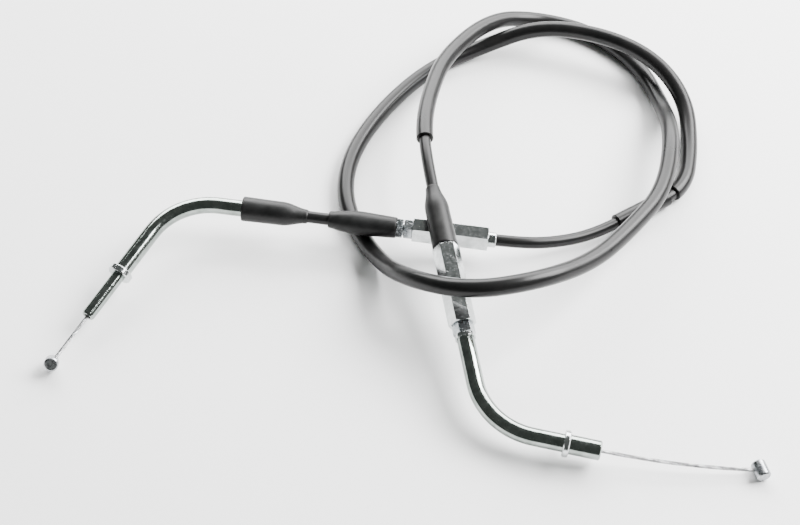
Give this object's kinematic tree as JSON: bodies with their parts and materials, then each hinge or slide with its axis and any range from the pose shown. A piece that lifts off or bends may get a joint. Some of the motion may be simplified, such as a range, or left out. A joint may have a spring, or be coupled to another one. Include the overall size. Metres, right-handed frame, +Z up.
{
  "type": "motorcycle throttle cable",
  "caption": "Throttle control cable: a nippled inner wire in a looped casing, with bent guide tubes, collars, screw adjusters and rubber boots at both ends.",
  "frame": {"origin": "on the surface the cable lies on, under the middle of the metal and rubber pieces' box (the free casing and its sleeves left out)", "axes": "+X runs from the grip end's nipple towards the carb end's nipple, along the longest side of that box, +Y towards the casing's loop, +Z up from the surface"},
  "size_m": [0.2873, 0.2687, 0.0388],
  "materials": {
    "bright_zinc": "bright zinc plate, smooth, a little mottled",
    "zinc_alloy": "cast zinc alloy, dull, a little uneven",
    "steel_strand": "twisted galvanised strand",
    "black_jacket": "satin black extruded vinyl",
    "white_liner": "smooth, waxy",
    "black_rubber": "moulded rubber, satin"
  },
  "bodies": {
    "root": {"main_casing": "black_jacket", "main_casing_winding": "steel_strand", "main_casing_liner": "white_liner", "main_inner_wire": "steel_strand", "long_sleeve": "black_jacket", "short_sleeve": "black_jacket", "grip_barrel_ferrule": "bright_zinc", "carb_barrel_ferrule": "bright_zinc"},
    "grip_barrel": {"grip_adjuster_barrel": "bright_zinc"},
    "grip_nut": {"grip_lock_nut": "bright_zinc"},
    "grip_end": {"grip_adjuster_bolt": "bright_zinc", "short_casing": "black_jacket", "short_casing_winding": "steel_strand", "short_casing_liner": "white_liner", "grip_elbow_boot": "black_rubber", "grip_elbow_tube": "bright_zinc", "grip_collar": "bright_zinc", "grip_tip_tube": "bright_zinc", "grip_wire_middle": "steel_strand"},
    "grip_wire": {"grip_wire_end": "steel_strand", "grip_nipple": "zinc_alloy"},
    "grip_boot": {"grip_adjuster_boot": "black_rubber"},
    "carb_barrel": {"carb_adjuster_barrel": "bright_zinc"},
    "carb_nut": {"carb_lock_nut": "bright_zinc"},
    "carb_end": {"carb_adjuster_stem": "bright_zinc", "carb_lock_washer": "bright_zinc", "carb_elbow_tube": "bright_zinc", "carb_collar": "bright_zinc", "carb_tip_tube": "bright_zinc", "carb_wire_middle": "steel_strand"},
    "carb_wire": {"carb_wire_end": "steel_strand", "carb_nipple": "zinc_alloy"},
    "carb_boot": {"carb_adjuster_boot": "black_rubber"}
  },
  "joints": [
    {"name": "grip_barrel_turn", "type": "hinge", "parent": "root", "child": "grip_barrel", "pos_m": [0.0395, 0.0474, 0.0115], "axis": [0.9912, -0.1235, -0.0471], "range_deg": [0, 3603.7]},
    {"name": "grip_nut_turn", "type": "hinge", "parent": "root", "child": "grip_nut", "pos_m": [0.0395, 0.0474, 0.0115], "axis": [0.9912, -0.1235, -0.0471], "range_deg": [0, 3603.7]},
    {"name": "grip_end_slide", "type": "slide", "parent": "root", "child": "grip_end", "axis": [-0.9912, 0.1235, 0.0471], "range_m": [0, 0.01]},
    {"name": "grip_wire_slide", "type": "slide", "parent": "grip_end", "child": "grip_wire", "axis": [-0.4919, -0.8577, -0.1495], "range_m": [-0.02, 0.013]},
    {"name": "grip_boot_slide", "type": "slide", "parent": "grip_end", "child": "grip_boot", "axis": [-0.9912, 0.1235, 0.0471], "range_m": [0, 0.008]},
    {"name": "carb_barrel_turn", "type": "hinge", "parent": "root", "child": "carb_barrel", "pos_m": [0.0206, 0.0336, 0.0217], "axis": [-0.1667, 0.9751, 0.1461], "range_deg": [0, 3603.7]},
    {"name": "carb_nut_turn", "type": "hinge", "parent": "root", "child": "carb_nut", "pos_m": [0.0206, 0.0336, 0.0217], "axis": [-0.1667, 0.9751, 0.1461], "range_deg": [0, 3603.7]},
    {"name": "carb_end_slide", "type": "slide", "parent": "root", "child": "carb_end", "axis": [0.1667, -0.9751, -0.1461], "range_m": [0, 0.01]},
    {"name": "carb_wire_slide", "type": "slide", "parent": "carb_end", "child": "carb_wire", "axis": [0.9764, -0.2095, -0.0515], "range_m": [-0.01301, 0.02001]},
    {"name": "carb_boot_slide", "type": "slide", "parent": "root", "child": "carb_boot", "axis": [-0.1667, 0.9751, 0.1461], "range_m": [0, 0.004]}
  ],
  "couplings": [
    {"joint": "grip_barrel_turn", "follows": "grip_end_slide", "rad_per_m": 6283.2},
    {"joint": "grip_nut_turn", "follows": "grip_end_slide", "rad_per_m": 6283.2},
    {"joint": "carb_barrel_turn", "follows": "carb_end_slide", "rad_per_m": 6283.2},
    {"joint": "carb_nut_turn", "follows": "carb_end_slide", "rad_per_m": 6283.2},
    {"joint": "carb_wire_slide", "follows": "grip_wire_slide", "ratio": -1}
  ]
}
